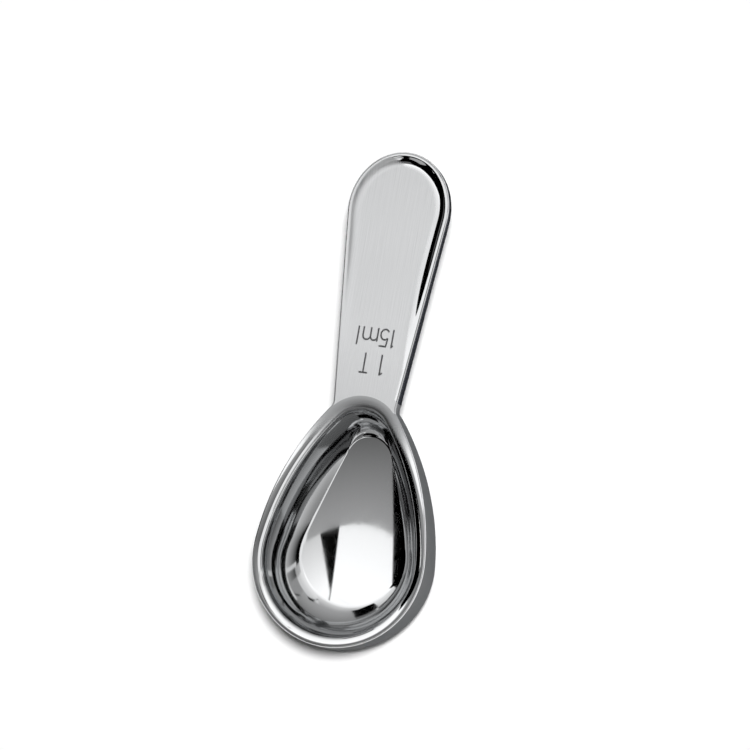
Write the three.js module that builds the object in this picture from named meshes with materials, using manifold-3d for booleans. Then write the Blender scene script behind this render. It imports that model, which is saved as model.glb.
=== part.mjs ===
// Coffee measuring spoon: a thick-walled egg-shaped cup, a tapered plate handle with a dished panel,
// and the flush butt weld that joins them along the cup's outline.
// Millimetres, +Z up. The cup stands on its flat base at z = 0 and the handle runs along +Y.

import * as THREE from 'three';
import { mergeVertices } from 'three/addons/utils/BufferGeometryUtils.js';
import Module from 'manifold-3d';

// Rim of the cup seen from above: an egg of a tip arc, two flank arcs and a root arc at the handle
const RIM_TIP_RADIUS = 20.5;
const RIM_ROOT_RADIUS = 10.2;
const RIM_FLANK_RADIUS = 62.5;
const RIM_ARC_SPACING = 28;

// Rounded lip of the rim, from the crown of its land in to the inner wall. It is wider at the handle.
const RIM_LAND = 1;
const RIM_EASE = 0.35;
const LIP_WIDTH = 2.4;
const LIP_ROOT_WIDTH = 3;
const LIP_DEPTH = 1.8;

// Floor inside the cup: a smaller egg of the same kind, set a little towards the handle
const FLOOR_TIP_RADIUS = 12.4;
const FLOOR_ROOT_RADIUS = 5.6;
const FLOOR_FLANK_RADIUS = 300;
const FLOOR_ARC_SPACING = 22.4;
const FLOOR_SHIFT = 2.3;

// Flat base that the cup stands on: a wider egg under the floor
const BASE_TIP_RADIUS = 16.5;
const BASE_ROOT_RADIUS = 7.5;
const BASE_FLANK_RADIUS = 62.5;
const BASE_ARC_SPACING = 19.7;
const BASE_SHIFT = 2;

// Walls of the cup. The outer wall is upright below the rim, furthest down at the flanks, and then curves in to
// the base. The inner wall is one elliptic curve that stops short at a crease round the dished floor.
const CUP_DEPTH = 11.7;
const CUP_FLOOR = 1.8;
const FLOOR_DISH = 0.8;
const UPRIGHT_FLANK = 9.8;
const UPRIGHT_END = 5.5;
const OUTER_SWEEP = THREE.MathUtils.degToRad(75);
const INNER_SWEEP = THREE.MathUtils.degToRad(70);

// Handle seen from above: straight edges that widen from the root to a half-ellipse end
const HANDLE_LENGTH = 57.7;
const HANDLE_ROOT_WIDTH = 15.7;
const HANDLE_END_WIDTH = 24.4;
const HANDLE_END_REACH = 13.8;
const ROOT_FILLET = 3;

// Handle in section: a plate with rounded edges, thinner towards its end, and a raised border round a dished
// panel. From the border's crest a tight arc leads into a wide one, and the dish fades out towards the cup.
const ROOT_PLATE = 4.2;
const END_PLATE = 2.6;
const EDGE_RADIUS = 0.6;
const BORDER_CREST = 0.65;
const BORDER_SLOPE = 2.8;
const CREST_SHARE = 0.2;
const DISH_DEPTH = 0.85;
const DISH_FADE_START = 6;
const DISH_FADE_END = 36;

// Butt weld between the cup and the handle, and the gap to each of them
const WELD_WIDTH = 1.2;
const SEAM_GAP = 0.3;

// Steps along the curves
const TIP_STEPS = 19;
const FLANK_STEPS = 8;
const ROOT_STEPS = 10;
const WALL_STEPS = 9;
const EASE_STEPS = 3;
const LIP_STEPS = 6;
const FLOOR_STEPS = 4;
const FILLET_STEPS = 6;
const EDGE_STEPS = 12;
const END_STEPS = 14;
const SLOPE_STEPS = 7;

const wasm = await Module();
wasm.setup();

const RIM_HEIGHT = CUP_DEPTH + CUP_FLOOR;
const QUARTER_TURN = Math.PI / 2;

const RIM_EGG = {
  tipRadius: RIM_TIP_RADIUS,
  rootRadius: RIM_ROOT_RADIUS,
  flankRadius: RIM_FLANK_RADIUS,
  spacing: RIM_ARC_SPACING,
  shift: 0,
};

const LIP_EGG = {
  tipRadius: RIM_TIP_RADIUS - LIP_WIDTH,
  rootRadius: RIM_ROOT_RADIUS - LIP_ROOT_WIDTH,
  flankRadius: RIM_FLANK_RADIUS - LIP_WIDTH,
  spacing: RIM_ARC_SPACING - (LIP_ROOT_WIDTH - LIP_WIDTH) / 2,
  shift: 0,
};

const FLOOR_EGG = {
  tipRadius: FLOOR_TIP_RADIUS,
  rootRadius: FLOOR_ROOT_RADIUS,
  flankRadius: FLOOR_FLANK_RADIUS,
  spacing: FLOOR_ARC_SPACING,
  shift: FLOOR_SHIFT,
};

const BASE_EGG = {
  tipRadius: BASE_TIP_RADIUS,
  rootRadius: BASE_ROOT_RADIUS,
  flankRadius: BASE_FLANK_RADIUS,
  spacing: BASE_ARC_SPACING,
  shift: BASE_SHIFT,
};

const FLOOR_HALF_LENGTH = (FLOOR_TIP_RADIUS + FLOOR_ARC_SPACING + FLOOR_ROOT_RADIUS) / 2;
const FLOOR_MIDDLE = FLOOR_SHIFT - FLOOR_TIP_RADIUS + FLOOR_HALF_LENGTH;

// Points along an arc of a circle or an ellipse, both ends included
function arcPoints(centre, radiusX, radiusY, fromAngle, toAngle, steps) {
  return Array.from({ length: steps + 1 }, (_, step) => {
    const angle = fromAngle + ((toAngle - fromAngle) * step) / steps;
    return new THREE.Vector2(centre.x + radiusX * Math.cos(angle), centre.y + radiusY * Math.sin(angle));
  });
}

// Closed outline of an egg moved outwards by grow, counter-clockwise from the middle of its tip.
// Each flank arc is tangent to the tip arc and to the root arc, which lie inside it.
function eggOutline(egg, grow) {
  const toTip = egg.flankRadius - egg.tipRadius;
  const toRoot = egg.flankRadius - egg.rootRadius;
  const flankY = (toTip ** 2 - toRoot ** 2 + egg.spacing ** 2) / (2 * egg.spacing);
  const flankX = Math.sqrt(toTip ** 2 - flankY ** 2);
  const tipAngle = Math.atan2(-flankY, flankX);
  const rootAngle = Math.atan2(egg.spacing - flankY, flankX);
  const tipCentre = new THREE.Vector2(0, egg.shift);
  const rootCentre = new THREE.Vector2(0, egg.shift + egg.spacing);
  const flankCentre = new THREE.Vector2(-flankX, egg.shift + flankY);
  const tip = egg.tipRadius + grow;
  const root = egg.rootRadius + grow;
  const flank = egg.flankRadius + grow;
  const rightHalf = [
    ...arcPoints(tipCentre, tip, tip, -QUARTER_TURN, tipAngle, TIP_STEPS).slice(0, -1),
    ...arcPoints(flankCentre, flank, flank, tipAngle, rootAngle, FLANK_STEPS).slice(0, -1),
    ...arcPoints(rootCentre, root, root, rootAngle, QUARTER_TURN, ROOT_STEPS),
  ];
  const leftHalf = rightHalf.slice(1, -1).map((point) => new THREE.Vector2(-point.x, point.y)).reverse();
  return [...rightHalf, ...leftHalf];
}

function atHeight(outline, height) {
  return outline.map((point) => new THREE.Vector3(point.x, point.y, height));
}

// Two triangles between each pair of neighbours on two rows of the same length
function stripBetween(rowA, rowB, closed) {
  const triangles = [];
  const count = closed ? rowA.length : rowA.length - 1;
  for (let index = 0; index < count; index += 1) {
    const next = (index + 1) % rowA.length;
    triangles.push([rowA[index], rowA[next], rowB[next]], [rowA[index], rowB[next], rowB[index]]);
  }
  return triangles;
}

function flipped(triangles) {
  return triangles.map(([first, second, third]) => [first, third, second]);
}

// Triangles over a closed row of corners, laid out flat by one 2-D point for each corner
function fillOver(row, flatPoints) {
  return THREE.ShapeUtils.triangulateShape(flatPoints, [])
    .map((corners) => corners.map((corner) => row[corner]));
}

// One closed geometry with shared corners, from separate triangles
function geometryFrom(triangles) {
  const geometry = new THREE.BufferGeometry();
  const numbers = triangles.flat().flatMap((corner) => corner.toArray());
  geometry.setAttribute('position', new THREE.Float32BufferAttribute(numbers, 3));
  return mergeVertices(geometry);
}

function solidFrom(geometry) {
  return new wasm.Manifold(new wasm.Mesh({
    numProp: 3,
    vertProperties: new Float32Array(geometry.attributes.position.array),
    triVerts: new Uint32Array(geometry.index.array),
  }));
}

function geometryOf(solid) {
  const mesh = solid.getMesh();
  const geometry = new THREE.BufferGeometry();
  geometry.setAttribute('position', new THREE.Float32BufferAttribute(mesh.vertProperties, 3));
  geometry.setIndex(Array.from(mesh.triVerts));
  return geometry;
}

// Rows of a curved wall from its top row down to its foot, both ends included
function wallRows(topRow, lowRow, sweep) {
  return Array.from({ length: WALL_STEPS + 1 }, (_, step) => {
    const angle = (sweep * step) / WALL_STEPS;
    const inwards = (1 - Math.cos(angle)) / (1 - Math.cos(sweep));
    const downwards = Math.sin(angle) / Math.sin(sweep);
    return topRow.map((top, index) => {
      const corner = top.clone().lerp(lowRow[index], inwards);
      corner.z = THREE.MathUtils.lerp(top.z, lowRow[index].z, downwards);
      return corner;
    });
  });
}

// Rows of the rim: the outer ease over the land, then the rounding from the land in to the lip's egg
function rimRows() {
  const easeCentre = new THREE.Vector2(-RIM_LAND, RIM_HEIGHT - RIM_EASE);
  const ease = arcPoints(easeCentre, RIM_LAND, RIM_EASE, 0, QUARTER_TURN, EASE_STEPS)
    .map((point) => atHeight(eggOutline(RIM_EGG, point.x), point.y));
  const land = eggOutline(RIM_EGG, -RIM_LAND);
  const lip = eggOutline(LIP_EGG, 0);
  const rounding = Array.from({ length: LIP_STEPS }, (_, step) => {
    const angle = (QUARTER_TURN * (step + 1)) / LIP_STEPS;
    const outline = land.map((point, index) => point.clone().lerp(lip[index], Math.sin(angle)));
    return atHeight(outline, RIM_HEIGHT - LIP_DEPTH * (1 - Math.cos(angle)));
  });
  return [...ease, ...rounding];
}

// A row on the dished floor: the crease drawn in to a share of its distance from the middle
function floorRow(share) {
  return eggOutline(FLOOR_EGG, 0).map((point) => {
    const across = point.x * share;
    const along = (point.y - FLOOR_MIDDLE) * share;
    const rise = (across / FLOOR_TIP_RADIUS) ** 2 + (along / FLOOR_HALF_LENGTH) ** 2;
    return new THREE.Vector3(across, FLOOR_MIDDLE + along, CUP_FLOOR - FLOOR_DISH * (1 - rise));
  });
}

// The cup: base, outer wall, rim, inner wall and floor as one run of rows
function bowlGeometry() {
  const rimOutline = eggOutline(RIM_EGG, 0);
  const widest = Math.max(...rimOutline.map((point) => point.x));
  const upright = rimOutline.map((point) => {
    const reach = THREE.MathUtils.lerp(UPRIGHT_END, UPRIGHT_FLANK, (point.x / widest) ** 2);
    return new THREE.Vector3(point.x, point.y, RIM_HEIGHT - reach);
  });
  const outerWall = wallRows(upright, atHeight(eggOutline(BASE_EGG, 0), 0), OUTER_SWEEP);
  const rim = rimRows();
  const innerWall = wallRows(rim[rim.length - 1], floorRow(1), INNER_SWEEP);
  const floor = Array.from({ length: FLOOR_STEPS }, (_, step) => floorRow(1 - (step + 1) / (FLOOR_STEPS + 1)));
  const rows = [...outerWall.reverse(), ...rim, ...innerWall.slice(1), ...floor];
  const base = rows[0];
  const inmost = rows[rows.length - 1];
  const triangles = [...flipped(fillOver(base, base)), ...fillOver(inmost, inmost)];
  for (let index = 0; index + 1 < rows.length; index += 1) {
    triangles.push(...stripBetween(rows[index], rows[index + 1], true));
  }
  return geometryFrom(triangles);
}

// The +X edge of the handle from the cup to the middle of the end. Each place has its point on the edge and
// the point of the centre line that lies square to the edge there.
function handleEdge() {
  const rootCentre = new THREE.Vector2(0, RIM_ARC_SPACING);
  const rootY = RIM_ARC_SPACING + RIM_ROOT_RADIUS;
  const halfRoot = HANDLE_ROOT_WIDTH / 2;
  const halfEnd = HANDLE_END_WIDTH / 2;
  const endCentre = new THREE.Vector2(0, rootY + HANDLE_LENGTH - HANDLE_END_REACH);

  const rootPoint = new THREE.Vector2(halfRoot, rootY);
  const scaledRoot = new THREE.Vector2(halfRoot / halfEnd, (rootY - endCentre.y) / HANDLE_END_REACH);
  const tangentAngle = Math.atan2(scaledRoot.y, scaledRoot.x) + Math.acos(1 / scaledRoot.length());
  const end = arcPoints(endCentre, halfEnd, HANDLE_END_REACH, tangentAngle, QUARTER_TURN, END_STEPS);
  const along = end[0].clone().sub(rootPoint).normalize();
  const inwards = new THREE.Vector2(-along.y, along.x);

  const besideRoot = rootPoint.clone().addScaledVector(inwards, -ROOT_FILLET);
  const fromRootCentre = besideRoot.clone().sub(rootCentre);
  const alongOffset = fromRootCentre.dot(along);
  const reach = RIM_ROOT_RADIUS + ROOT_FILLET;
  const slide = Math.sqrt(alongOffset ** 2 - fromRootCentre.lengthSq() + reach ** 2) - alongOffset;
  const filletCentre = besideRoot.clone().addScaledVector(along, slide);
  const cupAngle = rootCentre.clone().sub(filletCentre).angle();
  const fillet = arcPoints(filletCentre, ROOT_FILLET, ROOT_FILLET, cupAngle, inwards.angle(), FILLET_STEPS);

  const filletEdge = fillet.map((point) => {
    const square = point.clone().sub(filletCentre);
    return { point, middle: new THREE.Vector2(0, point.y - (point.x * square.y) / square.x) };
  });
  const straightStart = fillet[FILLET_STEPS];
  const straightEdge = Array.from({ length: EDGE_STEPS - 1 }, (_, step) => {
    const point = straightStart.clone().lerp(end[0], (step + 1) / EDGE_STEPS);
    return { point, middle: new THREE.Vector2(0, point.y - (point.x * inwards.y) / inwards.x) };
  });
  const focusShare = 1 - (halfEnd / HANDLE_END_REACH) ** 2;
  const endEdge = end.map((point) => (
    { point, middle: new THREE.Vector2(0, endCentre.y + (point.y - endCentre.y) * focusShare) }
  ));
  return [...filletEdge, ...straightEdge, ...endEdge];
}

// Share of the dish's depth that is reached at a distance from the border's crest
function dishShare(distance) {
  const slopeAngle = 2 * Math.atan(DISH_DEPTH / BORDER_SLOPE);
  const bothRadii = BORDER_SLOPE / Math.sin(slopeAngle);
  const crestRadius = bothRadii * CREST_SHARE;
  const dishRadius = bothRadii - crestRadius;
  if (distance < crestRadius * Math.sin(slopeAngle)) {
    return (crestRadius - Math.sqrt(crestRadius ** 2 - distance ** 2)) / DISH_DEPTH;
  }
  const left = BORDER_SLOPE - distance;
  return 1 - (dishRadius - Math.sqrt(dishRadius ** 2 - left ** 2)) / DISH_DEPTH;
}

// Half section of the handle from the centre line along the top, round the edge and back underneath.
// x is the distance from the edge and y the height above the rim.
function handleSection(halfWidth, dish, plate) {
  const slope = Array.from({ length: SLOPE_STEPS + 1 }, (_, step) => {
    const distance = BORDER_SLOPE * (1 - step / SLOPE_STEPS);
    return new THREE.Vector2(BORDER_CREST + distance, -dish * dishShare(distance));
  });
  const topEdge = new THREE.Vector2(EDGE_RADIUS, -EDGE_RADIUS);
  const underEdge = new THREE.Vector2(EDGE_RADIUS, EDGE_RADIUS - plate);
  return [
    new THREE.Vector2(halfWidth, -dish),
    ...slope,
    ...arcPoints(topEdge, EDGE_RADIUS, EDGE_RADIUS, QUARTER_TURN, 2 * QUARTER_TURN, EASE_STEPS),
    ...arcPoints(underEdge, EDGE_RADIUS, EDGE_RADIUS, 2 * QUARTER_TURN, 3 * QUARTER_TURN, EASE_STEPS),
    new THREE.Vector2(halfWidth, -plate),
  ];
}

// The handle before its root is trimmed to the cup: its root end still lies inside the cup's outline
function handleBlank() {
  const rootY = RIM_ARC_SPACING + RIM_ROOT_RADIUS;
  const sections = handleEdge().map(({ point, middle }) => {
    const fade = THREE.MathUtils.smoothstep(point.y - rootY, DISH_FADE_START, DISH_FADE_END);
    const plate = THREE.MathUtils.lerp(ROOT_PLATE, END_PLATE, (point.y - rootY) / HANDLE_LENGTH);
    const halfWidth = point.distanceTo(middle);
    const section = handleSection(halfWidth, DISH_DEPTH * fade, plate);
    const row = section.map((place) => {
      const flat = point.clone().lerp(middle, place.x / halfWidth);
      return new THREE.Vector3(flat.x, flat.y, RIM_HEIGHT + place.y);
    });
    return { section, row };
  });
  const rootSection = sections[0].section.map((place) => new THREE.Vector2(-place.x, place.y));
  const half = fillOver(sections[0].row, rootSection);
  for (let index = 0; index + 1 < sections.length; index += 1) {
    half.push(...stripBetween(sections[index].row, sections[index + 1].row, false));
  }
  const mirrored = half.map((corners) => (
    corners.map((corner) => new THREE.Vector3(-corner.x, corner.y, corner.z))
  ));
  return solidFrom(geometryFrom([...half, ...flipped(mirrored)]));
}

// The cup's outline as an upright plug, moved outwards by grow, taller than the handle's plate both ways
function cupPlug(grow) {
  const shape = new THREE.Shape(eggOutline(RIM_EGG, grow));
  const plug = new THREE.ExtrudeGeometry(shape, { depth: 3 * ROOT_PLATE, bevelEnabled: false });
  plug.deleteAttribute('normal');
  plug.deleteAttribute('uv');
  plug.translate(0, 0, RIM_HEIGHT - 2 * ROOT_PLATE);
  return solidFrom(mergeVertices(plug));
}

function handleGeometry() {
  return geometryOf(handleBlank().subtract(cupPlug(WELD_WIDTH + 2 * SEAM_GAP)));
}

// The weld has the handle's own section, in the space that the trimmed root leaves round the cup
function weldGeometry() {
  const weld = handleBlank().intersect(cupPlug(SEAM_GAP + WELD_WIDTH)).subtract(cupPlug(SEAM_GAP));
  return geometryOf(weld);
}

function pieceOf(name, geometry, colour, roughness) {
  const steel = new THREE.MeshStandardMaterial({ color: colour, roughness, metalness: 1 });
  geometry.computeVertexNormals();
  const piece = new THREE.Mesh(geometry, steel);
  piece.name = name;
  return piece;
}

const spoon = new THREE.Group();
spoon.add(pieceOf('bowl', bowlGeometry(), 0xd6d8da, 0.06));
spoon.add(pieceOf('handle', handleGeometry(), 0xcfd1d2, 0.34));
spoon.add(pieceOf('weld_seam', weldGeometry(), 0xc6c8ca, 0.25));

// The origin is on the flat base, under the middle of the floor
spoon.position.y = -FLOOR_MIDDLE;

export default spoon;
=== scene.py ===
import math

import bmesh
import bpy
import numpy as np
from mathutils import Matrix, Vector


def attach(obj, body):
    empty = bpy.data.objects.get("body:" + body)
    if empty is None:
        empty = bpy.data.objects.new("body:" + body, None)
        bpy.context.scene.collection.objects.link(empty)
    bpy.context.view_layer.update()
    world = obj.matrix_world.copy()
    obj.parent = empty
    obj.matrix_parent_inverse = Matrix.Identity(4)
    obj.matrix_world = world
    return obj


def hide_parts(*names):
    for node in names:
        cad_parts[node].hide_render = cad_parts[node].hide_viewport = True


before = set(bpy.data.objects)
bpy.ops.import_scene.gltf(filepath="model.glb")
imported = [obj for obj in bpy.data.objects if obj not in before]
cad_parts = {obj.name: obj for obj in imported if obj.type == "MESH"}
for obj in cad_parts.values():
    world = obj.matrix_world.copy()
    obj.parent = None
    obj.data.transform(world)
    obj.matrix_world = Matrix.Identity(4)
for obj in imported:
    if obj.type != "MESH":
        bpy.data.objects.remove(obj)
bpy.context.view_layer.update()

# Bowl. A thick cup of stainless steel with an egg-shaped rim, an upright outer wall and a dished floor.
# It is pressed, its rim is a land that leans inwards a little, and it is polished inside and satin outside.
# It stands on its flat base, and the handle is welded to its outer wall at the narrow end.
MM = 0.001
QUARTER_TURN = math.pi / 2
LIP_WIDTH = 2.4
LIP_ROOT_WIDTH = 3.0
RIM_EGG = {"tip": 20.5, "root": 10.2, "flank": 62.5, "spacing": 28.0, "shift": 0.0}
LIP_EGG = {
    "tip": RIM_EGG["tip"] - LIP_WIDTH,
    "root": RIM_EGG["root"] - LIP_ROOT_WIDTH,
    "flank": RIM_EGG["flank"] - LIP_WIDTH,
    "spacing": RIM_EGG["spacing"] - (LIP_ROOT_WIDTH - LIP_WIDTH) / 2,
    "shift": 0.0,
}
FLOOR_EGG = {"tip": 12.4, "root": 5.6, "flank": 300.0, "spacing": 22.4, "shift": 2.3}
BASE_EGG = {"tip": 16.5, "root": 7.5, "flank": 62.5, "spacing": 19.7, "shift": 2.0}
CUP_DEPTH = 11.7
CUP_FLOOR = 1.8
UPRIGHT_FLANK = 9.8
UPRIGHT_END = 5.5
OUTER_SWEEP = math.radians(75)
INNER_SWEEP = math.radians(70)
LIP_DEPTH = 1.8
RIM_EASE = 0.35
LIP_FLATNESS = 0.35
LIP_LEAN = 0.12
FLOOR_DISH = 0.8
RIM_HEIGHT = CUP_DEPTH + CUP_FLOOR
FLOOR_HALF_LENGTH = (FLOOR_EGG["spacing"] + FLOOR_EGG["tip"] + FLOOR_EGG["root"]) / 2
FLOOR_MIDDLE = FLOOR_EGG["shift"] - FLOOR_EGG["tip"] + FLOOR_HALF_LENGTH
STEEL = "#e4e5e6"

# How many steps each stretch of the mesh has, and the size of its innermost rings as a share of their outline
TIP_STEPS = 48
FLANK_STEPS = 32
ROOT_STEPS = 40
BASE_STEPS = 5
OUTER_STEPS = 32
EASE_STEPS = 12
LIP_STEPS = 28
WALL_STEPS = 56
FLOOR_STEPS = 39
INNERMOST = 0.02
SHARP_ANGLE = math.radians(40)


def arc(centre, radius_x, radius_y, start, end, steps):
    angle = np.linspace(start, end, steps + 1)
    return np.column_stack((centre[0] + radius_x * np.cos(angle), centre[1] + radius_y * np.sin(angle)))


def egg_outline(egg, grow):
    """Closed outline of an egg moved outwards by grow, anticlockwise from the middle of its tip."""
    to_tip = egg["flank"] - egg["tip"]
    to_root = egg["flank"] - egg["root"]
    spacing = egg["spacing"]
    flank_y = (to_tip ** 2 - to_root ** 2 + spacing ** 2) / (2 * spacing)
    flank_x = math.sqrt(to_tip ** 2 - flank_y ** 2)
    tip_angle = math.atan2(-flank_y, flank_x)
    root_angle = math.atan2(spacing - flank_y, flank_x)
    tip, flank, root = egg["tip"] + grow, egg["flank"] + grow, egg["root"] + grow
    right = np.concatenate((
        arc((0, 0), tip, tip, -QUARTER_TURN, tip_angle, TIP_STEPS)[:-1],
        arc((-flank_x, flank_y), flank, flank, tip_angle, root_angle, FLANK_STEPS)[:-1],
        arc((0, spacing), root, root, root_angle, QUARTER_TURN, ROOT_STEPS),
    ))
    left = right[-2:0:-1] * (-1, 1)
    return np.concatenate((right, left)) + (0, egg["shift"] - FLOOR_MIDDLE)


def ring_at(outline, height):
    return np.column_stack((outline, np.broadcast_to(height, len(outline))))


def wall_rings(top_outline, low_outline, top, low, sweep, steps):
    """Rings of the elliptic curve from the top of a wall in to its foot."""
    rings = []
    for angle in np.linspace(0, sweep, steps + 1):
        inwards = (1 - math.cos(angle)) / (1 - math.cos(sweep))
        downwards = math.sin(angle) / math.sin(sweep)
        outline = top_outline + (low_outline - top_outline) * inwards
        rings.append(ring_at(outline, top + (low - top) * downwards))
    return rings


def lip_rings(land_outline, lip_outline):
    """Rings of the rim's land, which leans inwards, and of its rounding over to the top of the inner wall."""
    rings = []
    for angle in np.linspace(0, QUARTER_TURN, LIP_STEPS + 1):
        inwards = math.sin(angle) ** LIP_FLATNESS
        rounding = 1 - max(math.cos(angle), 0) ** LIP_FLATNESS
        downwards = LIP_LEAN * inwards + (1 - LIP_LEAN) * rounding
        outline = land_outline + (lip_outline - land_outline) * inwards
        rings.append(ring_at(outline, RIM_HEIGHT - LIP_DEPTH * downwards))
    return rings


def floor_height(points):
    """Height of the dished floor, which is lowest in the middle of the base."""
    share = (points[:, 0] / FLOOR_EGG["tip"]) ** 2 + (points[:, 1] / FLOOR_HALF_LENGTH) ** 2
    return CUP_FLOOR - FLOOR_DISH * (1 - share)


def smooth_step(value, start, end):
    share = np.clip((np.asarray(value, float) - start) / (end - start), 0, 1)
    return share * share * (3 - 2 * share)


def add_object(name, corners, faces):
    mesh = bpy.data.meshes.new(name)
    mesh.from_pydata([tuple(corner) for corner in np.asarray(corners) * MM], [], faces)
    piece = bpy.data.objects.new(name, mesh)
    bpy.context.scene.collection.objects.link(piece)
    return piece


def soften(piece):
    piece.data.shade_smooth()
    piece.data.set_sharp_from_angle(angle=SHARP_ANGLE)


def mark_corners(piece, name, values):
    """Gives each corner of a piece a number, which its material reads by name."""
    numbers = piece.data.attributes.new(name, "FLOAT", "POINT")
    numbers.data.foreach_set("value", np.asarray(values, np.float32))


def linear(hex_colour):
    """An sRGB hex colour as linear RGBA."""
    channels = [int(hex_colour[start:start + 2], 16) / 255 for start in (1, 3, 5)]
    return [c / 12.92 if c <= 0.04045 else ((c + 0.055) / 1.055) ** 2.4 for c in channels] + [1.0]


def add_node(tree, kind, settings=None, **inputs):
    """Adds one node: settings are its own properties, inputs are socket values or the sockets to link.

    An input is named for its socket, or is _2 for the socket at place 2 where several have one name."""
    node = tree.nodes.new(kind)
    for name, value in (settings or {}).items():
        setattr(node, name, value)
    for name, value in inputs.items():
        key = int(name[1:]) if name[0] == "_" and name[1:].isdigit() else name.replace("_", " ")
        socket = node.inputs[key]
        if isinstance(value, bpy.types.NodeSocket):
            tree.links.new(value, socket)
        else:
            socket.default_value = value
    return node


def new_material(name):
    material = bpy.data.materials.new(name)
    material.use_nodes = True
    material.node_tree.nodes.clear()
    return material, material.node_tree


rim_outline = egg_outline(RIM_EGG, 0)
lip_outline = egg_outline(LIP_EGG, 0)
floor_outline = egg_outline(FLOOR_EGG, 0)
base_outline = egg_outline(BASE_EGG, 0)
to_flank = (rim_outline[:, 0] / rim_outline[:, 0].max()) ** 2
curve_top = RIM_HEIGHT - UPRIGHT_END - (UPRIGHT_FLANK - UPRIGHT_END) * to_flank
ease = arc((-RIM_EASE, RIM_HEIGHT - RIM_EASE), RIM_EASE, RIM_EASE, 0, QUARTER_TURN, EASE_STEPS)
bowl_rings = [ring_at(base_outline * share, 0) for share in np.linspace(INNERMOST, 1, BASE_STEPS + 1)]
bowl_rings += wall_rings(rim_outline, base_outline, curve_top, 0, OUTER_SWEEP, OUTER_STEPS)[-2::-1]
outer_rings = len(bowl_rings)
bowl_rings += [ring_at(egg_outline(RIM_EGG, grow), height) for grow, height in ease]
bowl_rings += lip_rings(egg_outline(RIM_EGG, -RIM_EASE), lip_outline)[1:]
lip_end = len(bowl_rings)
bowl_rings += wall_rings(lip_outline, floor_outline, RIM_HEIGHT - LIP_DEPTH, floor_height(floor_outline),
                         INNER_SWEEP, WALL_STEPS)[1:]
wall_end = len(bowl_rings)
for share in np.linspace(1, INNERMOST, FLOOR_STEPS + 1)[1:]:
    bowl_rings.append(ring_at(floor_outline * share, floor_height(floor_outline * share)))
ring_size = len(base_outline)
bowl_faces = [tuple(range(ring_size))[::-1]]
for row in range(len(bowl_rings) - 1):
    low, high = row * ring_size, (row + 1) * ring_size
    for place in range(ring_size):
        after = (place + 1) % ring_size
        bowl_faces.append((low + place, low + after, high + after, high + place))
bowl_faces.append(tuple(range((len(bowl_rings) - 1) * ring_size, len(bowl_rings) * ring_size)))
bowl = add_object("polished_bowl", np.concatenate(bowl_rings), bowl_faces)
soften(bowl)

# Where the handle's satin and the lip's painted shade run out over the lip, and over how many rings the
# wall's dull polish and painted shade blend in
SATIN_LIP_AND_PAINTED_SHADE = (12.0, 24.0)
POLISH_BLEND = 8
ring_number = np.repeat(np.arange(len(bowl_rings)), ring_size)
satin_lip_and_painted_shade = smooth_step(np.concatenate(bowl_rings)[:, 1], *SATIN_LIP_AND_PAINTED_SHADE)
satin_lip_and_painted_shade *= (ring_number >= outer_rings) & (ring_number <= lip_end)
dull_wall_and_painted_shade = smooth_step(ring_number, lip_end - POLISH_BLEND, lip_end + POLISH_BLEND / 2)
dull_wall_and_painted_shade *= smooth_step(ring_number, wall_end, wall_end - POLISH_BLEND)
mark_corners(bowl, "satin_lip_and_painted_shade", satin_lip_and_painted_shade)
mark_corners(bowl, "dull_wall_and_painted_shade", dull_wall_and_painted_shade)

# Stainless steel, mirror polished: a clear reflection, with a faint haze from the polishing mop.
# The mop reaches the wall less than the floor, so the wall's reflection is softer. The wall's darker tone is
# painted shade.
# The lip at the root is satin, because the brushing of the handle runs out over it, and its darker tone is
# painted shade.
MOP_HAZE = 3.0
WALL_STEEL_PAINTED_SHADE = "#c6c7c8"
LIP_STEEL_PAINTED_SHADE = "#abacad"
FLOOR_GLOSS = (0.01, 0.05)
WALL_GLOSS = (0.06, 0.12)
LIP_GLOSS = 0.3
polished_steel, tree = new_material("stainless_steel_mirror_polished")
coords = add_node(tree, "ShaderNodeTexCoord")
haze = add_node(tree, "ShaderNodeTexNoise", Vector=coords.outputs["Object"], Scale=1 / (MOP_HAZE * MM),
                Detail=4.0)
floor_gloss = add_node(tree, "ShaderNodeMapRange", Value=haze.outputs["Fac"], To_Min=FLOOR_GLOSS[0],
                       To_Max=FLOOR_GLOSS[1])
wall_gloss = add_node(tree, "ShaderNodeMapRange", Value=haze.outputs["Fac"], To_Min=WALL_GLOSS[0],
                      To_Max=WALL_GLOSS[1])
wall = add_node(tree, "ShaderNodeAttribute", {"attribute_name": "dull_wall_and_painted_shade"})
lip = add_node(tree, "ShaderNodeAttribute", {"attribute_name": "satin_lip_and_painted_shade"})
inner_gloss = add_node(tree, "ShaderNodeMix", _0=wall.outputs["Fac"], _2=floor_gloss.outputs["Result"],
                       _3=wall_gloss.outputs["Result"])
gloss = add_node(tree, "ShaderNodeMix", _0=lip.outputs["Fac"], _2=inner_gloss.outputs[0], _3=LIP_GLOSS)
inner_tone = add_node(tree, "ShaderNodeMix", {"data_type": "RGBA"}, _0=wall.outputs["Fac"],
                      _6=linear(STEEL), _7=linear(WALL_STEEL_PAINTED_SHADE))
tone = add_node(tree, "ShaderNodeMix", {"data_type": "RGBA"}, _0=lip.outputs["Fac"],
                _6=inner_tone.outputs[2], _7=linear(LIP_STEEL_PAINTED_SHADE))
steel = add_node(tree, "ShaderNodeBsdfPrincipled", Base_Color=tone.outputs[2], Metallic=1.0,
                 Roughness=gloss.outputs[0])
add_node(tree, "ShaderNodeOutputMaterial", Surface=steel.outputs["BSDF"])
bowl.data.materials.append(polished_steel)
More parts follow.
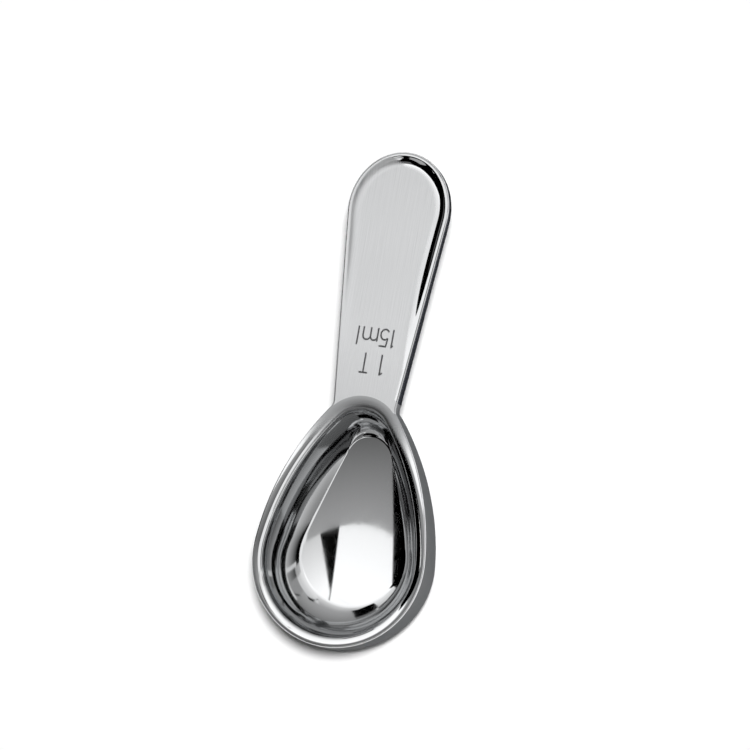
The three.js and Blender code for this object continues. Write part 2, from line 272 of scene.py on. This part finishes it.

# Stainless steel, satin: the outside is left as the press and a fine abrasive leave it, with a soft sheen.
# Its grey base colour and darker edge tint are painted shade, for the shadowed floor that the outer wall
# reflects.
SATIN_STEEL_PAINTED_SHADE = "#9c9d9e"
SATIN_EDGE_PAINTED_SHADE = "#6f7071"
SATIN_GRAIN = 0.4
SATIN_GLOSS = (0.3, 0.42)
satin_steel_painted_shade, tree = new_material("stainless_steel_satin_painted_shade")
coords = add_node(tree, "ShaderNodeTexCoord")
grain = add_node(tree, "ShaderNodeTexNoise", Vector=coords.outputs["Object"], Scale=1 / (SATIN_GRAIN * MM),
                 Detail=3.0)
sheen = add_node(tree, "ShaderNodeMapRange", Value=grain.outputs["Fac"], To_Min=SATIN_GLOSS[0],
                 To_Max=SATIN_GLOSS[1])
steel = add_node(tree, "ShaderNodeBsdfPrincipled", Base_Color=linear(SATIN_STEEL_PAINTED_SHADE), Metallic=1.0,
                 Specular_Tint=linear(SATIN_EDGE_PAINTED_SHADE), Roughness=sheen.outputs["Result"])
add_node(tree, "ShaderNodeOutputMaterial", Surface=steel.outputs["BSDF"])
bowl.data.materials.append(satin_steel_painted_shade)
# The base and the outer wall take the satin steel, with its painted shade.
for face in bowl.data.polygons[:1 + outer_rings * ring_size]:
    face.material_index = 1
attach(bowl, "root")
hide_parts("bowl")

# Handle. A flat plate of stainless steel that widens to a round end, blanked and coined in one press tool.
# A raised border runs round a dished panel that is brushed lengthways and fades out at the bowl.
# The capacity is stamped into the panel near the bowl, to be read with the bowl at the top.
HANDLE_LENGTH = 57.7
HANDLE_ROOT_WIDTH = 15.7
HANDLE_END_WIDTH = 24.4
HANDLE_END_REACH = 13.8
ROOT_FILLET = 3.0
ROOT_PLATE = 4.2
END_PLATE = 2.6
EDGE_RADIUS = 0.6
BORDER_CREST = 0.65
BORDER_SLOPE = 2.8
CREST_SHARE = 0.2
DISH_DEPTH = 0.85
DISH_FADE_START = 6.0
DISH_FADE_END = 36.0
SEAM_REACH = 1.8
ROOT_CENTRE = np.array((0, RIM_EGG["spacing"] - FLOOR_MIDDLE))
ROOT_Y = ROOT_CENTRE[1] + RIM_EGG["root"]
MARK_DEPTH = 0.14
MARK_HALF_WIDTH = 0.22
MARK_BAND = (4.0, 16.4)

# How many steps, or rows of points, each stretch of the mesh has. The rows are closest beside the mark.
END_STEPS = 64
FILLET_STEPS = 20
ROWS_BEFORE_MARK = 8
ROWS_IN_MARK = 160
ROWS_AFTER_MARK = 44
PANEL_STEPS = 63
SLOPE_STEPS = 23
ROUND_STEPS = 8
STROKE_STEPS = 12


def handle_edge():
    """The +X edge from the bowl to the middle of the end, and the centre-line point square to each place."""
    half_root, half_end = HANDLE_ROOT_WIDTH / 2, HANDLE_END_WIDTH / 2
    end_centre = np.array((0, ROOT_Y + HANDLE_LENGTH - HANDLE_END_REACH))
    root_point = np.array((half_root, ROOT_Y))
    scaled = (root_point - end_centre) / (half_end, HANDLE_END_REACH)
    tangent = math.atan2(scaled[1], scaled[0]) + math.acos(1 / np.linalg.norm(scaled))
    end = arc(end_centre, half_end, HANDLE_END_REACH, tangent, QUARTER_TURN, END_STEPS)
    along = (end[0] - root_point) / np.linalg.norm(end[0] - root_point)
    inwards = np.array((-along[1], along[0]))

    beside = root_point - inwards * ROOT_FILLET - ROOT_CENTRE
    reach = RIM_EGG["root"] + ROOT_FILLET
    slide = math.sqrt((beside @ along) ** 2 - beside @ beside + reach ** 2) - beside @ along
    fillet_centre = ROOT_CENTRE + beside + along * slide
    to_cup = ROOT_CENTRE - fillet_centre
    start_angle = math.atan2(to_cup[1], to_cup[0]) % (2 * math.pi)
    end_angle = math.atan2(inwards[1], inwards[0])
    fillet = arc(fillet_centre, ROOT_FILLET, ROOT_FILLET, start_angle, end_angle, FILLET_STEPS)
    square = fillet - fillet_centre
    fillet_feet = fillet[:, 1] - fillet[:, 0] * square[:, 1] / square[:, 0]

    low, high = MARK_BAND
    straight_y = np.concatenate((
        np.linspace(fillet[-1, 1], ROOT_Y + low, ROWS_BEFORE_MARK)[1:],
        np.linspace(ROOT_Y + low, ROOT_Y + high, ROWS_IN_MARK)[1:],
        np.linspace(ROOT_Y + high, end[0, 1], ROWS_AFTER_MARK)[1:-1],
    ))
    straight = fillet[-1] + along * ((straight_y - fillet[-1, 1]) / along[1])[:, None]
    straight_feet = straight[:, 1] - straight[:, 0] * inwards[1] / inwards[0]
    end_feet = end_centre[1] + (end[:, 1] - end_centre[1]) * (1 - (half_end / HANDLE_END_REACH) ** 2)
    feet = np.concatenate((fillet_feet, straight_feet, end_feet))
    return np.concatenate((fillet, straight, end)), np.column_stack((np.zeros_like(feet), feet))


def dish_share(distance):
    """Share of the dish's depth at a distance from the border's crest: a tight arc, then a wide one."""
    slope = 2 * math.atan(DISH_DEPTH / BORDER_SLOPE)
    both = BORDER_SLOPE / math.sin(slope)
    crest, dish = both * CREST_SHARE, both * (1 - CREST_SHARE)
    near = np.clip(distance, 0, crest * math.sin(slope))
    left = np.clip(BORDER_SLOPE - distance, 0, dish * math.sin(slope))
    on_crest = (crest - np.sqrt(crest ** 2 - near ** 2)) / DISH_DEPTH
    in_dish = 1 - (dish - np.sqrt(dish ** 2 - left ** 2)) / DISH_DEPTH
    return np.where(distance < crest * math.sin(slope), on_crest, in_dish)


def section_profile(half_width, plate):
    """Half a section, from its middle over the edge and back to its middle.

    It gives distances from the edge, heights, shares of the dish and how many of the points are on top."""
    panel = np.linspace(half_width, BORDER_CREST + BORDER_SLOPE, PANEL_STEPS + 1)[:-1]
    slope = np.linspace(BORDER_CREST + BORDER_SLOPE, BORDER_CREST, SLOPE_STEPS + 1)
    top = np.concatenate((panel, slope))
    shares = dish_share(np.clip(top - BORDER_CREST, 0, BORDER_SLOPE))
    round_edge = np.concatenate((
        arc((EDGE_RADIUS, -EDGE_RADIUS), EDGE_RADIUS, EDGE_RADIUS, QUARTER_TURN, 2 * QUARTER_TURN,
            ROUND_STEPS),
        arc((EDGE_RADIUS, EDGE_RADIUS - plate), EDGE_RADIUS, EDGE_RADIUS, 2 * QUARTER_TURN, 3 * QUARTER_TURN,
            ROUND_STEPS),
    ))
    distances = np.concatenate((top, round_edge[:, 0], (half_width / 2, half_width)))
    heights = np.concatenate((np.zeros_like(top), round_edge[:, 1], (-plate, -plate)))
    shares = np.concatenate((shares, np.zeros(len(distances) - len(top))))
    return distances, heights, shares, len(top)


def stroke(*points):
    return [np.array((first, second)) for first, second in zip(points[:-1], points[1:])]


def bent_stroke(centre, radius_x, radius_y, start, end):
    return stroke(*arc(centre, radius_x, radius_y, math.radians(start), math.radians(end), STROKE_STEPS))


# The two lines of the capacity mark as single strokes, each read from left to right from its lower left
# corner, and the place of that corner on the handle, from the middle of its root
MILLILITRE_MARK = (
    stroke((0.0, 3.7), (0.25, 4.0), (0.25, 0.0))
    + stroke((3.1, 4.0), (1.6, 4.0), (1.4, 2.3)) + bent_stroke((2.15, 1.2), 1.0, 1.25, 135, -140)
    + stroke((3.9, 0.0), (3.9, 2.9)) + bent_stroke((4.75, 1.9), 0.85, 0.95, 180, 0)
    + stroke((5.6, 1.9), (5.6, 0.0)) + bent_stroke((6.5, 1.9), 0.9, 0.95, 180, 0)
    + stroke((7.4, 1.9), (7.4, 0.0)) + stroke((8.6, 0.0), (8.6, 4.1))
)
SPOON_MARK = (
    stroke((0.0, 4.2), (0.55, 4.6), (0.55, 0.0))
    + stroke((3.6, 4.5), (5.4, 4.5)) + stroke((4.5, 4.5), (4.5, 0.0))
)
MILLILITRE_PLACE = np.array((4.2, 15.6))
SPOON_PLACE = np.array((2.8, 9.5))
mark_strokes = [MILLILITRE_PLACE - line for line in MILLILITRE_MARK]
mark_strokes += [SPOON_PLACE - line for line in SPOON_MARK]


def mark_share(points):
    """How far inside a stamped stroke each point lies, from 0 at its edge to 1 on its centre line."""
    nearest = np.full(len(points), np.inf)
    for start, end in mark_strokes:
        along = end - start
        share = np.clip(((points - start) @ along) / (along @ along), 0, 1)
        nearest = np.minimum(nearest, np.linalg.norm(points - start - share[:, None] * along, axis=1))
    return 0.5 + 0.5 * np.cos(math.pi * np.clip(nearest / MARK_HALF_WIDTH, 0, 1))


def handle_blank():
    """The handle before its root is trimmed to the bowl, a closed mesh of sections square to its edge."""
    rows = []
    for edge, foot in zip(*handle_edge()):
        half_width = np.linalg.norm(edge - foot)
        plate = ROOT_PLATE + (END_PLATE - ROOT_PLATE) * (edge[1] - ROOT_Y) / HANDLE_LENGTH
        distances, heights, shares, top_count = section_profile(half_width, plate)
        fade = smooth_step(edge[1] - ROOT_Y, DISH_FADE_START, DISH_FADE_END)
        flat = edge + (foot - edge) * (distances / half_width)[:, None]
        rows.append(np.column_stack((flat, RIM_HEIGHT + heights - DISH_DEPTH * fade * shares)))
    size = len(rows[0])
    half = np.concatenate(rows)
    corners = np.concatenate((half, half * (-1, 1, 1)))
    on_top = np.tile(np.arange(size) < top_count, 2 * len(rows))
    corners[on_top, 2] -= MARK_DEPTH * mark_share(corners[on_top, :2] - (0, ROOT_Y))
    faces = []
    for row in range(len(rows) - 1):
        for place in range(size - 1):
            low, high = row * size + place, (row + 1) * size + place
            faces.append((low, high, high + 1, low + 1))
    faces.append(tuple(range(size)))
    faces += [tuple(corner + len(half) for corner in face[::-1]) for face in faces]
    blank = add_object("handle_blank", corners, faces)
    welded = bmesh.new()
    welded.from_mesh(blank.data)
    bmesh.ops.remove_doubles(welded, verts=welded.verts, dist=1e-7)
    bmesh.ops.dissolve_degenerate(welded, edges=welded.edges, dist=1e-8)
    bmesh.ops.recalc_face_normals(welded, faces=welded.faces)
    welded.to_mesh(blank.data)
    welded.free()
    return blank


def bowl_plug(grow):
    """An upright plug of the bowl's outline moved outwards by grow, taller than the handle both ways."""
    outline = egg_outline(RIM_EGG, grow)
    low = ring_at(outline, RIM_HEIGHT - 2 * ROOT_PLATE)
    high = ring_at(outline, RIM_HEIGHT + ROOT_PLATE)
    count = len(outline)
    faces = [tuple(range(count))[::-1], tuple(range(count, 2 * count))]
    for place in range(count):
        after = (place + 1) % count
        faces.append((place, after, count + after, count + place))
    return add_object("bowl_plug", np.concatenate((low, high)), faces)


def trimmed(name, blank, *cuts):
    """A new object: the blank after each cut, which is the operation and the grow of the bowl's plug."""
    plugs = [bowl_plug(grow) for _, grow in cuts]
    for (operation, _), plug in zip(cuts, plugs):
        cut = blank.modifiers.new("trim", "BOOLEAN")
        cut.operation = operation
        cut.solver = "EXACT"
        cut.object = plug
    view = bpy.context.evaluated_depsgraph_get()
    piece = bpy.data.objects.new(name, bpy.data.meshes.new_from_object(blank.evaluated_get(view)))
    piece.data.name = name
    bpy.context.scene.collection.objects.link(piece)
    blank.modifiers.clear()
    for plug in plugs:
        bpy.data.objects.remove(plug)
    return piece


blank = handle_blank()
handle = trimmed("brushed_handle", blank, ("DIFFERENCE", SEAM_REACH))
soften(handle)

# How far the brushing and the stamped marks reach at each corner of the handle. The brushing begins part of
# the way down the border's slope and blends in, wider where the dish is deep.
# On the left the abrasive belt has run over the border.
POLISHED_SLOPE = 0.8
BELT_OVERRUN = (-1.0, 5.0)
BLEND_BEFORE = 0.2
BLEND_AFTER = 0.4
BLEND_IN_DISH = 0.6
right_edge, _ = handle_edge()
corners = np.array([corner.co for corner in handle.data.vertices]) / MM
edge_distance = np.full(len(corners), np.inf)
for point in np.concatenate((right_edge, right_edge[::-1] * (-1, 1))):
    edge_distance = np.minimum(edge_distance, np.linalg.norm(corners[:, :2] - point, axis=1))
fade = smooth_step(corners[:, 1] - ROOT_Y, DISH_FADE_START, DISH_FADE_END)
over_border = smooth_step(-corners[:, 0], *BELT_OVERRUN)
brush_start = (BORDER_CREST + BORDER_SLOPE * POLISHED_SLOPE * np.sqrt(fade)) * (1 - over_border)
brush_end = brush_start + BLEND_AFTER + BLEND_IN_DISH * fade
brushing = smooth_step(edge_distance, brush_start - BLEND_BEFORE, brush_end)
brushing *= corners[:, 2] > RIM_HEIGHT - END_PLATE / 2
mark_corners(handle, "brushing", brushing)
mark_corners(handle, "stamping", mark_share(corners[:, :2] - (0, ROOT_Y)) * brushing)

# Stainless steel, brushed lengthways with an abrasive belt: fine lines along the handle that spread a
# highlight across it. The rest of the border is polished. The lines are coarser than the real ones, to show.
BRUSH_LINE = 0.18
BRUSH_RUN = 14.0
BRUSH_DEPTH = 0.01
STAMP_SHADE = "#5c5d5f"
PALE_LINE = "#e4e5e6"
DARK_LINE = "#d4d5d6"
LINE_GLOSS = (0.28, 0.4)
BORDER_GLOSS = 0.05
brushed_steel, tree = new_material("stainless_steel_brushed_lengthways")
coords = add_node(tree, "ShaderNodeTexCoord")
stretch = add_node(tree, "ShaderNodeMapping", Vector=coords.outputs["Object"],
                   Scale=(1 / (BRUSH_LINE * MM), 1 / (BRUSH_RUN * MM), 1 / (BRUSH_RUN * MM)))
lines = add_node(tree, "ShaderNodeTexNoise", Vector=stretch.outputs["Vector"], Scale=1.0, Detail=3.0,
                 Roughness=0.6)
contrast = add_node(tree, "ShaderNodeMapRange", Value=lines.outputs["Fac"], From_Min=0.3, From_Max=0.7)
brushed = add_node(tree, "ShaderNodeAttribute", {"attribute_name": "brushing"})
stamped = add_node(tree, "ShaderNodeAttribute", {"attribute_name": "stamping"})
line_tone = add_node(tree, "ShaderNodeMix", {"data_type": "RGBA"}, _0=contrast.outputs["Result"],
                     _6=linear(DARK_LINE), _7=linear(PALE_LINE))
plate_tone = add_node(tree, "ShaderNodeMix", {"data_type": "RGBA"}, _0=brushed.outputs["Fac"],
                      _6=linear(STEEL), _7=line_tone.outputs[2])
tone = add_node(tree, "ShaderNodeMix", {"data_type": "RGBA"}, _0=stamped.outputs["Fac"],
                _6=plate_tone.outputs[2], _7=linear(STAMP_SHADE))
line_gloss = add_node(tree, "ShaderNodeMapRange", Value=contrast.outputs["Result"], To_Min=LINE_GLOSS[0],
                      To_Max=LINE_GLOSS[1])
plate_gloss = add_node(tree, "ShaderNodeMix", _0=brushed.outputs["Fac"], _2=BORDER_GLOSS,
                       _3=line_gloss.outputs["Result"])
depth = add_node(tree, "ShaderNodeMath", {"operation": "MULTIPLY"}, _0=contrast.outputs["Result"],
                 _1=brushed.outputs["Fac"])
ridges = add_node(tree, "ShaderNodeBump", Height=depth.outputs["Value"], Strength=0.12,
                  Distance=BRUSH_DEPTH * MM)
steel = add_node(tree, "ShaderNodeBsdfPrincipled", Base_Color=tone.outputs[2], Metallic=1.0,
                 Roughness=plate_gloss.outputs[0], Normal=ridges.outputs["Normal"])
add_node(tree, "ShaderNodeOutputMaterial", Surface=steel.outputs["BSDF"])
handle.data.materials.clear()
handle.data.materials.append(brushed_steel)

# Stainless steel, sheared: the press tool leaves the plate's edge matt, with short upright scores. Its dark
# tone, in the base colour and the edge tint, is painted shade for the dark surroundings that the side faces
# reflect.
SHEARED_EDGE_PAINTED_SHADE = "#55565a"
SHEARED_SCORE_PAINTED_SHADE = "#76787c"
SCORE_WIDTH = 0.25
SCORE_LENGTH = 2.0
SCORE_GLOSS = (0.3, 0.45)
SIDE_SLOPE = 0.6
sheared_steel_painted_shade, tree = new_material("stainless_steel_sheared_edge_painted_shade")
coords = add_node(tree, "ShaderNodeTexCoord")
upright = add_node(tree, "ShaderNodeMapping", Vector=coords.outputs["Object"],
                   Scale=(1 / (SCORE_WIDTH * MM), 1 / (SCORE_WIDTH * MM), 1 / (SCORE_LENGTH * MM)))
scores = add_node(tree, "ShaderNodeTexNoise", Vector=upright.outputs["Vector"], Scale=1.0, Detail=2.0)
score_tone = add_node(tree, "ShaderNodeMix", {"data_type": "RGBA"}, _0=scores.outputs["Fac"],
                      _6=linear(SHEARED_EDGE_PAINTED_SHADE), _7=linear(SHEARED_SCORE_PAINTED_SHADE))
score_gloss = add_node(tree, "ShaderNodeMapRange", Value=scores.outputs["Fac"], To_Min=SCORE_GLOSS[0],
                       To_Max=SCORE_GLOSS[1])
steel = add_node(tree, "ShaderNodeBsdfPrincipled", Base_Color=score_tone.outputs[2], Metallic=1.0,
                 Specular_Tint=linear(SHEARED_EDGE_PAINTED_SHADE), Roughness=score_gloss.outputs["Result"])
add_node(tree, "ShaderNodeOutputMaterial", Surface=steel.outputs["BSDF"])
handle.data.materials.append(sheared_steel_painted_shade)
for face in handle.data.polygons:
    face.material_index = int(abs(face.normal.z) < SIDE_SLOPE)
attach(handle, "root")
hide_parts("handle")

# Weld. The butt weld of stainless steel between the bowl's outer wall and the trimmed root of the handle.
# It is run along the bowl's outline and ground flush with both, brushed on top and satin at its two ends,
# whose darker tone is painted shade.
weld = trimmed("ground_weld", blank, ("INTERSECT", SEAM_REACH), ("DIFFERENCE", -RIM_EASE))
bpy.data.objects.remove(blank)
soften(weld)
heights = np.array([corner.co.z for corner in weld.data.vertices]) / MM
mark_corners(weld, "brushing", heights > RIM_HEIGHT - EDGE_RADIUS / 2)
weld.data.materials.clear()
weld.data.materials.append(brushed_steel)
weld.data.materials.append(satin_steel_painted_shade)
for face in weld.data.polygons:
    face.material_index = int(abs(face.normal.z) < SIDE_SLOPE)
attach(weld, "root")
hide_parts("weld_seam")

# Floor. A plain white sheet of paper, far larger than the picture.
# The spoon lies on it, and it takes the spoon's shadow.
FLOOR_WHITE = "#fafafa"
FLOOR_HALF = 1500.0
floor = add_object("floor", [(-FLOOR_HALF, -FLOOR_HALF, 0), (FLOOR_HALF, -FLOOR_HALF, 0),
                             (FLOOR_HALF, FLOOR_HALF, 0), (-FLOOR_HALF, FLOOR_HALF, 0)], [(0, 1, 2, 3)])

# White paper, uncoated: an even matt white that shows no reflection.
white_sheet, tree = new_material("white_paper_sheet")
paper = add_node(tree, "ShaderNodeBsdfDiffuse", Color=linear(FLOOR_WHITE))
add_node(tree, "ShaderNodeOutputMaterial", Surface=paper.outputs["BSDF"])
floor.data.materials.append(white_sheet)

# Studio. A white room that the steel shows, with softboxes overhead and grey and black cards round the spoon.
# The cards are seen in the steel only. A lamp that the steel doesn't show lights the floor.
OVERHEAD = 320.0
ROOM = 2400.0
IN_FRONT = 2.0
ROOM_WHITE = "#ffffff"
ROOM_FILL = 0.05
SECTOR_STEPS = 24
EDGE_STEPS = 8

# Places on the dome are in degrees away from straight up, to the right and to the handle's end.
# The front edge of the softboxes is a bow. Their back edge goes from a corner on the left through the foot of
# the dark wedge between them to a corner on the right.
BOW_MIDDLE = (-16.4, 5.2)
BOW_BEND = 0.0075
LEFT_CORNER = (-27.5, 9.2)
RIGHT_CORNER = (4.0, 14.0)
WEDGE_FOOT = (-12.5, 8.2)
WEDGE_FOOT_LEFT = (-12.6, 8.2)
WEDGE_FOOT_RIGHT = (-12.4, 8.2)


def dome_points(curve, radius):
    """Points on a dome over the bowl, from degrees away from straight up."""
    zenith = np.radians(np.linalg.norm(curve, axis=1))
    azimuth = np.arctan2(curve[:, 1], curve[:, 0])
    flat = np.column_stack((np.cos(azimuth), np.sin(azimuth))) * np.sin(zenith)[:, None]
    return np.column_stack((flat, np.cos(zenith))) * radius


def sector(near, far, start, end):
    """The two edges of a card between two angles from straight up and between two bearings from the right."""
    bearings = (math.radians(start), math.radians(end), SECTOR_STEPS)
    return arc((0, 0), near, near, *bearings), arc((0, 0), far, far, *bearings)


def bowed_edge(start, end):
    """The front edge of the softboxes between two places to the right."""
    across = np.linspace(start, end, EDGE_STEPS + 1)
    return np.column_stack((across, BOW_MIDDLE[1] + BOW_BEND * (across - BOW_MIDDLE[0]) ** 2))


def straight_edge(start, end):
    return np.linspace(start, end, EDGE_STEPS + 1)


# Each card has its distance, the light of its near and of its far edge, and the two edges
studio_cards = {
    "softbox_left": (OVERHEAD, 1.15, 1.4, bowed_edge(-24, -11.6),
                     straight_edge(LEFT_CORNER, WEDGE_FOOT_LEFT)),
    "softbox_right": (OVERHEAD, 0.75, 1.4, bowed_edge(-7.7, 4),
                      straight_edge(WEDGE_FOOT_RIGHT, RIGHT_CORNER)),
    "softbox_back": (OVERHEAD, 1.3, 0.6, [(-42, 17), LEFT_CORNER, WEDGE_FOOT, RIGHT_CORNER],
                     [(-38, 28), (-25.6, 40), (-12, 46), (4, 46)]),
    "wedge_flag": (OVERHEAD, 0.0, 0.0, bowed_edge(-11.6, -7.7),
                   straight_edge(WEDGE_FOOT_LEFT, WEDGE_FOOT_RIGHT)),
    "streak_flag": (OVERHEAD - IN_FRONT, 0.0, 0.0,
                    [WEDGE_FOOT_LEFT, (-10.8, 18), (1, 36), (8, 42), (20, 45), (34, 51)],
                    [WEDGE_FOOT_RIGHT, (-9.6, 18), (5, 38), (12, 50), (26, 55), (42, 58)]),
    "grey_card": (OVERHEAD, 0.14, 0.42, straight_edge((-20, 1.5), (-5, 1.5)), bowed_edge(-24, -5)),
    "grey_card_front": (OVERHEAD, 0.14, 0.14, straight_edge((-20, -9), (-5, -9)),
                        straight_edge((-20, 1.5), (-5, 1.5))),
    "crease_flag": (OVERHEAD, 0.0, 0.0, [(-40, 4.5), (-40, 9), (-40, 12)],
                    [(-20.3, 2.2), (-24, 5.6), LEFT_CORNER]),
    "front_flag": (OVERHEAD, 0.0, 0.0, *sector(46, 62, 235, 278)),
    "front_card": (OVERHEAD, 0.5, 0.3, *sector(33, 46, 250, 278)),
    "front_left_card": (OVERHEAD, 0.4, 0.5, *sector(38, 80, 204, 235)),
    "front_dim_card": (OVERHEAD, 0.2, 0.15, *sector(32, 64, 278, 327)),
    "root_light": (OVERHEAD, 0.65, 0.65, *sector(64, 70, 278, 287)),
    "front_right_card": (OVERHEAD, 0.25, 0.8, *sector(32, 70, 327, 350)),
    "right_notch_card": (OVERHEAD, 0.6, 0.6, *sector(32, 46, 31, 44)),
    "right_flag": (OVERHEAD, 0.0, 0.0, *sector(32, 41, -10, 31)),
    "right_card": (OVERHEAD, 0.0, 0.7, *sector(41, 72, -10, 26)),
    "right_back_card": (OVERHEAD, 0.05, 0.5, *sector(46, 72, 31, 42)),
    "right_far_card": (OVERHEAD, 0.45, 0.45, *sector(46, 72, 42, 60)),
    "back_card": (OVERHEAD, 0.6, 0.28, *sector(46, 82, 60, 122)),
    "back_flag": (OVERHEAD, 0.0, 0.0, *sector(48, 66, 122, 142)),
    "back_low_card": (OVERHEAD, 0.2, 0.2, *sector(66, 82, 122, 140)),
    "left_flag": (ROOM, 0.0, 0.0, *sector(27, 74, 157, 181)),
    "left_front_flag": (ROOM, 0.0, 0.0, *sector(20, 66, 181, 256)),
    "left_low_flag": (ROOM, 0.0, 0.0, *sector(66, 74, 181, 203)),
    "left_low_card": (ROOM, 0.02, 0.3, *sector(74, 88, 157, 203)),
    "left_back_flag": (ROOM, 0.0, 0.0, *sector(68, 82, 140, 157)),
    "front_top_flag": (ROOM, 0.05, 0.05, *sector(18, 32, 256, 318)),
    "front_low_card": (ROOM, 0.45, 0.45, *sector(61, 88, 228, 272)),
    "root_low_card": (ROOM, 0.3, 0.3, *sector(70, 88, 272, 300)),
    "front_right_top_card": (ROOM, 0.35, 0.35, *sector(18, 31, 318, 350)),
}
for name, (radius, near_light, far_light, near_edge, far_edge) in studio_cards.items():
    count = len(near_edge)
    card = add_object(name, dome_points(np.concatenate((near_edge, far_edge)), radius),
                      [(step, step + 1, count + step + 1, count + step) for step in range(count - 1)])
    mark_corners(card, "light", np.repeat((near_light, far_light), count))
    card_paint, tree = new_material(name)
    falloff = add_node(tree, "ShaderNodeAttribute", {"attribute_name": "light"})
    shine = add_node(tree, "ShaderNodeEmission", Color=linear(ROOM_WHITE), Strength=falloff.outputs["Fac"])
    add_node(tree, "ShaderNodeOutputMaterial", Surface=shine.outputs["Emission"])
    card.data.materials.append(card_paint)
    card.visible_camera = False
    card.visible_diffuse = False
    card.visible_shadow = False

LAMP_STRENGTH = 3.3
LAMP_SPREAD = math.radians(13)
LAMP_RIGHT = math.radians(15)
LAMP_BEHIND = math.radians(6)
lamp = bpy.data.lights.new("floor_lamp", "SUN")
lamp.energy = LAMP_STRENGTH
lamp.angle = LAMP_SPREAD
floor_lamp = bpy.data.objects.new("floor_lamp", lamp)
lamp_direction = Vector((math.tan(LAMP_RIGHT), math.tan(LAMP_BEHIND), 1.0))
floor_lamp.rotation_euler = lamp_direction.to_track_quat("Z", "Y").to_euler()
floor_lamp.visible_glossy = False
bpy.context.scene.collection.objects.link(floor_lamp)

world = bpy.data.worlds.new("white_room")
world.use_nodes = True
tree = world.node_tree
tree.nodes.clear()
path = add_node(tree, "ShaderNodeLightPath")
seen = add_node(tree, "ShaderNodeMath", {"operation": "MAXIMUM"}, _0=path.outputs["Is Camera Ray"],
                _1=path.outputs["Is Glossy Ray"])
shown = add_node(tree, "ShaderNodeMath", {"operation": "MAXIMUM"}, _0=seen.outputs["Value"],
                 _1=path.outputs["Is Transmission Ray"])
strength = add_node(tree, "ShaderNodeMix", _0=shown.outputs["Value"], _2=ROOM_FILL, _3=1.0)
room = add_node(tree, "ShaderNodeBackground", Color=linear(ROOM_WHITE), Strength=strength.outputs[0])
add_node(tree, "ShaderNodeOutputWorld", Surface=room.outputs["Background"])
bpy.context.scene.world = world
bpy.context.scene.view_settings.view_transform = "Standard"

# Camera. A long lens, fixed far above the spoon so that its sides stay nearly parallel.
# It looks down from a little to the right and a little towards the bowl's tip.
CAMERA_DISTANCE = 720.0
CAMERA_TARGET = Vector((1.357, 32.882, RIM_HEIGHT))
CAMERA_LENS = 150.187
CAMERA_SENSOR = 36.0
CAMERA_NEAR = 0.01
TILT_RIGHT = math.radians(15.984)
TILT_TIP = math.radians(7.748)
CAMERA_ROLL = math.radians(9.760)
back = Vector((math.sin(TILT_RIGHT) * math.cos(TILT_TIP), -math.sin(TILT_TIP),
               math.cos(TILT_RIGHT) * math.cos(TILT_TIP)))
level_up = (Vector((0, 1, 0)) - back * back.y).normalized()
level_right = level_up.cross(back)
up = level_up * math.cos(CAMERA_ROLL) - level_right * math.sin(CAMERA_ROLL)
right = level_right * math.cos(CAMERA_ROLL) + level_up * math.sin(CAMERA_ROLL)
lens = bpy.data.cameras.new("camera")
lens.sensor_width = CAMERA_SENSOR
lens.lens = CAMERA_LENS
lens.clip_start = CAMERA_NEAR
camera = bpy.data.objects.new("camera", lens)
bpy.context.scene.collection.objects.link(camera)
turn = Matrix((right, up, back)).transposed().to_4x4()
camera.matrix_world = Matrix.Translation((CAMERA_TARGET + back * CAMERA_DISTANCE) * MM) @ turn
bpy.context.scene.camera = camera
